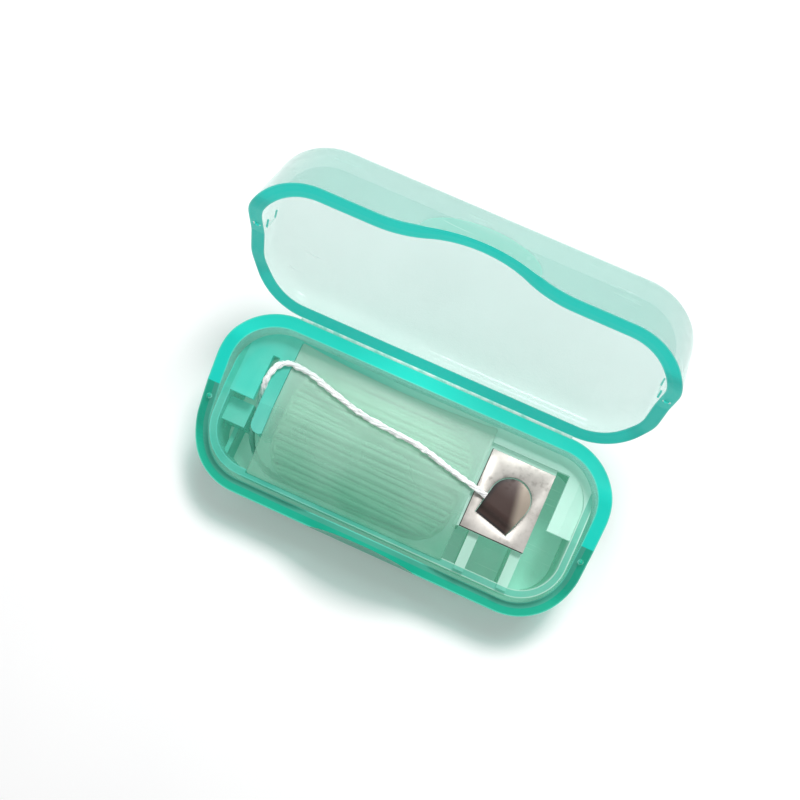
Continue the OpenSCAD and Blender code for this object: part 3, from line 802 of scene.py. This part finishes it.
def insert_plastic():
    material, tree, plastic, output = new_material("insert_plastic")
    place = add_node(tree, "ShaderNodeTexCoord")
    vector = place.outputs["Object"]
    split = add_node(tree, "ShaderNodeSeparateXYZ", {0: vector})
    rightward = ramp(tree, split.outputs["X"], -27 * MM, 14 * MM)
    upward = ramp(tree, split.outputs["Z"], 9 * MM, 14.6 * MM)
    cloud = patches(tree, vector, 70)
    high_colour = blend_colour(tree, rightward, paint(72, 216, 200), paint(214, 246, 236))
    low_colour = blend_colour(tree, rightward, paint(70, 190, 170), paint(120, 192, 164))
    colour = blend_colour(tree, upward, low_colour, high_colour)
    wall_x = maths(tree, "SUBTRACT", maths(tree, "ABSOLUTE", split.outputs["X"]), INSERT_STRAIGHT_X)
    wall_y = maths(tree, "SUBTRACT", INSERT_FRONT_Y, split.outputs["Y"])
    corner = maths(tree, "SQRT", maths(
        tree, "ADD", maths(tree, "POWER", maths(tree, "MAXIMUM", wall_x, 0.0), 2.0),
        maths(tree, "POWER", maths(tree, "MAXIMUM", wall_y, 0.0), 2.0),
    ))
    # The wall top is painted as a saturated teal band; a thin pale painted highlight stays along its outer
    # edge.
    in_wall = ramp(tree, corner, INSERT_CORNER_R - 1.1 * MM, INSERT_CORNER_R - 1.0 * MM)
    wall_highlight_line = ramp(tree, corner, INSERT_CORNER_R - 0.2 * MM, INSERT_CORNER_R - 0.12 * MM)
    band = maths(tree, "MULTIPLY", in_wall, maths(tree, "SUBTRACT", 1.0, wall_highlight_line))
    colour = blend_colour(tree, maths(tree, "MULTIPLY", band, 0.8), colour, paint(30, 182, 160))
    colour = blend_colour(tree, maths(tree, "MULTIPLY", cloud, 0.2), colour, paint(200, 240, 226))
    tree.links.new(colour, plastic.inputs["Base Color"])
    rough = patches(tree, vector, 160, 0.25, 0.42)
    tree.links.new(rough, plastic.inputs["Roughness"])
    grain = place_group(tree, moulded_grain, Vector=vector, Size=2200, Flow=1.5)["Height"]
    add_bump(tree, plastic, grain, 0.12, 0.04 * MM)
    tree.links.new(colour, plastic.inputs["Emission Color"])
    plastic.inputs["Emission Strength"].default_value = INSERT_GLOW
    plastic.inputs["IOR"].default_value = 1.4
    share = maths(tree, "MULTIPLY_ADD", cloud, 0.1, INSERT_SOLID)
    see_through(tree, plastic, output, share, INSERT_TINT)
    return material


def cover_film():
    material, tree, plastic, output = new_material("cover_film")
    place = add_node(tree, "ShaderNodeTexCoord")
    vector = place.outputs["Object"]
    facing = add_node(tree, "ShaderNodeSeparateXYZ", {0: place.outputs["Normal"]})
    level = maths(tree, "ABSOLUTE", facing.outputs["Z"])
    # The cut edges are darker, both as cut edges and as painted shade in the gap behind the cover.
    edge = ramp(tree, level, 0.5, 0.3)
    cloud = patches(tree, vector, 90)
    # Painted shade: the face darkens towards the front.
    split = add_node(tree, "ShaderNodeSeparateXYZ", {0: vector})
    slant = maths(tree, "MULTIPLY_ADD", split.outputs["X"], 0.1, split.outputs["Y"])
    front = ramp(tree, slant, 9 * MM, -8 * MM, smooth=False)
    face_colour = blend_colour(tree, front, paint(226, 252, 240), paint(116, 190, 162))
    face_colour = blend_colour(tree, maths(tree, "MULTIPLY", cloud, 0.25), face_colour, paint(206, 240, 226))
    colour = blend_colour(tree, edge, face_colour, paint(64, 140, 120))
    tree.links.new(colour, plastic.inputs["Base Color"])
    scratch = place_group(tree, hairline_scratches, Vector=vector, Turn=0.1, Amount=0.8)["Mask"]
    rough = maths(tree, "MULTIPLY_ADD", scratch, 0.3, 0.12)
    tree.links.new(rough, plastic.inputs["Roughness"])
    share = maths(tree, "MULTIPLY_ADD", cloud, 0.06, COVER_SOLID)
    share = maths(tree, "MAXIMUM", share, maths(tree, "MULTIPLY", edge, 0.8))
    see_through(tree, plastic, output, share, COVER_TINT)
    return material


dress(insert_plastic(), "floss_insert")
dress(cover_film(), "well_cover")

# %% [markdown]
# The hinge film is the same plastic drawn thin and bent so often that it has
# whitened along the fold.

# %% Hinge film finish


def whitened_film():
    material, tree, plastic, output = new_material("whitened_film")
    place = add_node(tree, "ShaderNodeTexCoord")
    streak = patches(tree, place.outputs["Object"], 900)
    colour = blend_colour(tree, streak, paint(150, 236, 218), paint(226, 250, 242))
    tree.links.new(colour, plastic.inputs["Base Color"])
    tree.links.new(ramp(tree, streak, 0, 1, 0.25, 0.5), plastic.inputs["Roughness"])
    add_bump(tree, plastic, streak, 0.3, 0.03 * MM)
    return material


dress(whitened_film(), "hinge_film")

# %% [markdown]
# Floss is white and soft. Fine streaks and a small sheen stand for its
# filaments. The wound part's mint cast is painted light, for the light that
# reaches it through the case. Painted shade makes both yarns a deeper teal
# low down, and the wound part also towards the front.

# %% Floss finish


def floss_yarn(name, bright, deep, streak, sheen, low_span, front_span):
    material, tree, yarn, output = new_material(name)
    place = add_node(tree, "ShaderNodeTexCoord")
    vector = place.outputs["Object"]
    split = add_node(tree, "ShaderNodeSeparateXYZ", {0: vector})
    stretched = add_node(tree, "ShaderNodeMapping", {"Vector": vector, "Scale": (500, 5200, 3600)})
    fibres = add_node(tree, "ShaderNodeTexNoise", {"Vector": stretched.outputs[0], "Scale": 1, "Detail": 3})
    broad = patches(tree, vector, 120)
    # Painted shade: the yarn deepens low down and towards the front.
    low = ramp(tree, split.outputs["Z"], low_span[0], low_span[1])
    slant = maths(tree, "MULTIPLY_ADD", split.outputs["X"], -0.2, split.outputs["Y"])
    front = ramp(tree, slant, front_span[0], front_span[1], smooth=False)
    shade = maths(tree, "MAXIMUM", low, front)
    shade = maths(tree, "MULTIPLY_ADD", broad, 0.12, maths(tree, "MULTIPLY", shade, 0.88))
    colour = blend_colour(tree, shade, bright, deep)
    colour = blend_colour(
        tree, ramp(tree, fibres.outputs[0], 0.35, 0.65, 0, 0.25), colour, streak
    )
    tree.links.new(colour, yarn.inputs["Base Color"])
    tree.links.new(ramp(tree, fibres.outputs[0], 0.3, 0.7, 0.45, 0.75), yarn.inputs["Roughness"])
    add_bump(tree, yarn, fibres.outputs[0], 0.4, 0.08 * MM)
    yarn.inputs["Sheen Weight"].default_value = sheen
    yarn.inputs["Sheen Roughness"].default_value = 0.4
    return material


FREE_LOW = (15.0 * MM, 12.5 * MM)
FREE_FRONT = (-20 * MM, -40 * MM)
WOUND_LOW = (11.0 * MM, 6.0 * MM)
WOUND_FRONT = (9 * MM, -9 * MM)
free_yarn = floss_yarn(
    "floss_white", paint(255, 255, 255), paint(120, 200, 180), paint(222, 228, 228),
    0.3, FREE_LOW, FREE_FRONT,
)
wound_yarn = floss_yarn(
    "floss_lit_through_case", paint(214, 244, 226), paint(112, 182, 152), paint(150, 206, 180),
    0.1, WOUND_LOW, WOUND_FRONT,
)
dress(free_yarn, "floss_free_end")
dress(wound_yarn, "floss_winding_turns", "floss_packed_turns")

# %% [markdown]
# The cutter is bright stamped steel with greyish handling marks, and a thin
# painted shadow runs along the plate's left and front edges. Its raised tang
# is dark with a painted reflection: nearly black at the left, brown over the
# middle and fading to a warm beige at the right, with painted shadow at its
# root.

# %% Cutter finish
TANG_ROOT = Vector((13.25, -1.55, 14.0)) * MM
TANG_TURN = math.radians(-15)
PLATE_TOP = 14.4 * MM
PLATE_LEFT = 12.1 * MM
PLATE_FRONT = -4.45 * MM
EDGE_SHADOW_WIDTH = 0.16 * MM
TANG_MIDDLE = (3.15 * MM, 4.85 * MM)
TANG_REACH = 2.95 * MM


def cutter_steel():
    material, tree, steel, output = new_material("cutter_steel")
    place = add_node(tree, "ShaderNodeTexCoord")
    vector = place.outputs["Object"]
    local = add_node(
        tree, "ShaderNodeMapping",
        {"Vector": vector, "Location": TANG_ROOT, "Rotation": (0, 0, TANG_TURN)},
        vector_type="TEXTURE",
    )
    spot = add_node(tree, "ShaderNodeSeparateXYZ", {0: local.outputs[0]})
    split = add_node(tree, "ShaderNodeSeparateXYZ", {0: vector})
    raised = ramp(tree, split.outputs["Z"], PLATE_TOP + 0.05 * MM, PLATE_TOP + 0.2 * MM)
    inside_x = maths(tree, "SUBTRACT", spot.outputs["X"], TANG_MIDDLE[0])
    inside_y = maths(tree, "MAXIMUM", maths(tree, "SUBTRACT", spot.outputs["Y"], TANG_MIDDLE[1]), 0.0)
    from_middle = maths(tree, "SQRT", maths(
        tree, "ADD", maths(tree, "POWER", inside_x, 2.0), maths(tree, "POWER", inside_y, 2.0)
    ))
    foot = maths(
        tree, "MULTIPLY", maths(tree, "LESS_THAN", from_middle, TANG_REACH),
        maths(tree, "GREATER_THAN", spot.outputs["Y"], 0.1 * MM),
    )
    raised = maths(tree, "MAXIMUM", raised, foot)
    # Painted reflection on the tang, dark to the left and beige to the right, with painted shadow at its
    # root.
    across = maths(tree, "MULTIPLY_ADD", spot.outputs["Y"], 0.45, spot.outputs["X"])
    warm_reflection = ramp(tree, across, 5.6 * MM, 7.4 * MM)
    dark_reflection = ramp(tree, from_middle, 2.3 * MM, 3.0 * MM)
    left_half = ramp(tree, across, 6.0 * MM, 4.5 * MM)
    dark_reflection = maths(tree, "MULTIPLY", dark_reflection, left_half)
    root_shadow = ramp(tree, spot.outputs["Y"], 0.6 * MM, 0.3 * MM)
    tang_reflection = blend_colour(tree, maths(tree, "MAXIMUM", dark_reflection, root_shadow), paint(50, 31, 25), paint(14, 9, 8))
    tang_reflection = blend_colour(tree, maths(tree, "MULTIPLY", warm_reflection, 0.85), tang_reflection, paint(158, 146, 132))
    smudge = patches(tree, vector, 420)
    broad = patches(tree, vector, 150)
    speck = add_node(tree, "ShaderNodeTexNoise", {"Vector": vector, "Scale": 1300, "Detail": 2})
    specks = ramp(tree, speck.outputs[0], 0.45, 0.7)
    marks = maths(tree, "MULTIPLY", maths(tree, "MULTIPLY_ADD", broad, 0.6, 0.4), smudge)
    marks = maths(tree, "MULTIPLY", marks, maths(tree, "MULTIPLY_ADD", specks, 0.5, 0.5))
    left_side = ramp(tree, split.outputs["X"], 16.5 * MM, 12.5 * MM)
    marks = maths(tree, "MAXIMUM", marks, maths(
        tree, "MULTIPLY", left_side, maths(tree, "MULTIPLY_ADD", smudge, 0.5, 0.25)
    ))
    plate = blend_colour(tree, marks, paint(198, 194, 188), paint(128, 124, 119))
    # Painted shadow: a thin dark line along the plate's left and front edges.
    from_left = maths(tree, "SUBTRACT", split.outputs["X"], PLATE_LEFT)
    from_front = maths(tree, "SUBTRACT", split.outputs["Y"], PLATE_FRONT)
    near_edge = maths(tree, "MINIMUM", from_left, from_front)
    edge_shadow = ramp(tree, near_edge, EDGE_SHADOW_WIDTH, 0.7 * EDGE_SHADOW_WIDTH)
    plate = blend_colour(tree, edge_shadow, plate, paint(44, 44, 40))
    colour = blend_colour(tree, raised, plate, tang_reflection)
    tree.links.new(colour, steel.inputs["Base Color"])
    rough = ramp(tree, marks, 0, 1, 0.34, 0.5)
    rough = maths(tree, "MULTIPLY_ADD", raised, 0.1, rough)
    tree.links.new(rough, steel.inputs["Roughness"])
    metallic = ramp(tree, raised, 0, 1, 0.6, 0.2)
    tree.links.new(metallic, steel.inputs["Metallic"])
    brushed = add_node(tree, "ShaderNodeMapping", {"Vector": vector, "Scale": (9000, 700, 700)})
    lines = add_node(tree, "ShaderNodeTexNoise", {"Vector": brushed.outputs[0], "Scale": 1, "Detail": 2})
    add_bump(tree, steel, lines.outputs[0], 0.15, 0.02 * MM)
    return material


dress(cutter_steel(), "cutter_blade")

# %% [markdown]
# The case lies on a white table. The floor's own light for the camera lifts
# it to white and leaves the shadow in it, and the world is white to the
# camera but dimmer as a lamp, so that colours render as they are written.

# %% Floor, world and lamps
FLOOR_SIZE = 1.6
FLOOR_GAP = 0.03 * MM
WORLD_LIGHT = 0.34
FLOOR_LIFT = 0.05
LAMP_AIM = (0, 0, 0.01)
KEY_POWER = 1.45
FILL_POWER = 0.12


def seen_directly(tree):
    """One for rays whose background should be white, else nought."""
    path = add_node(tree, "ShaderNodeLightPath")
    either = maths(tree, "MAXIMUM", path.outputs["Is Camera Ray"], path.outputs["Is Glossy Ray"])
    return maths(tree, "MAXIMUM", either, path.outputs["Is Transmission Ray"])


def make_floor():
    bpy.ops.object.select_all(action="DESELECT")
    bpy.ops.mesh.primitive_plane_add(size=FLOOR_SIZE, location=(0, 0, -FLOOR_GAP))
    floor = bpy.context.object
    floor.name = "table_top"
    material, tree, surface, output = new_material("table_white")
    place = add_node(tree, "ShaderNodeTexCoord")
    cloud = patches(tree, place.outputs["Object"], 9)
    colour = blend_colour(tree, cloud, paint(246, 246, 247), paint(250, 250, 250))
    tree.links.new(colour, surface.inputs["Base Color"])
    surface.inputs["Roughness"].default_value = 0.7
    surface.inputs["Specular IOR Level"].default_value = 0.0
    lift = maths(tree, "MULTIPLY", seen_directly(tree), FLOOR_LIFT)
    glow = add_node(tree, "ShaderNodeEmission", {"Color": (1, 1, 1, 1), "Strength": lift})
    both = add_node(tree, "ShaderNodeAddShader", {0: surface.outputs[0], 1: glow.outputs[0]})
    tree.links.new(both.outputs[0], output.inputs["Surface"])
    floor.data.materials.append(material)


def make_world():
    world = bpy.data.worlds.new("white_room")
    world.use_nodes = True
    tree = world.node_tree
    background = tree.nodes["Background"]
    background.inputs["Color"].default_value = (1, 1, 1, 1)
    strength = ramp(tree, seen_directly(tree), 0, 1, WORLD_LIGHT, 1.0, smooth=False)
    tree.links.new(strength, background.inputs["Strength"])
    bpy.context.scene.world = world


def add_softbox(name, place, aim, size, power):
    bpy.ops.object.light_add(type="AREA", location=place)
    lamp = bpy.context.object
    lamp.name = name
    lamp.data.shape = "RECTANGLE"
    lamp.data.size, lamp.data.size_y = size
    lamp.data.energy = power
    lamp.rotation_euler = (Vector(aim) - Vector(place)).to_track_quat("-Z", "Y").to_euler()


make_floor()
make_world()
add_softbox("key_softbox", (0.03, 0.205, 0.35), LAMP_AIM, (0.11, 0.09), KEY_POWER)
add_softbox("fill_softbox", (-0.26, -0.10, 0.30), LAMP_AIM, (0.20, 0.20), FILL_POWER)

# %% [markdown]
# The picture is shown as it is rendered, with no film look.

# %% View
bpy.context.scene.view_settings.view_transform = "Standard"
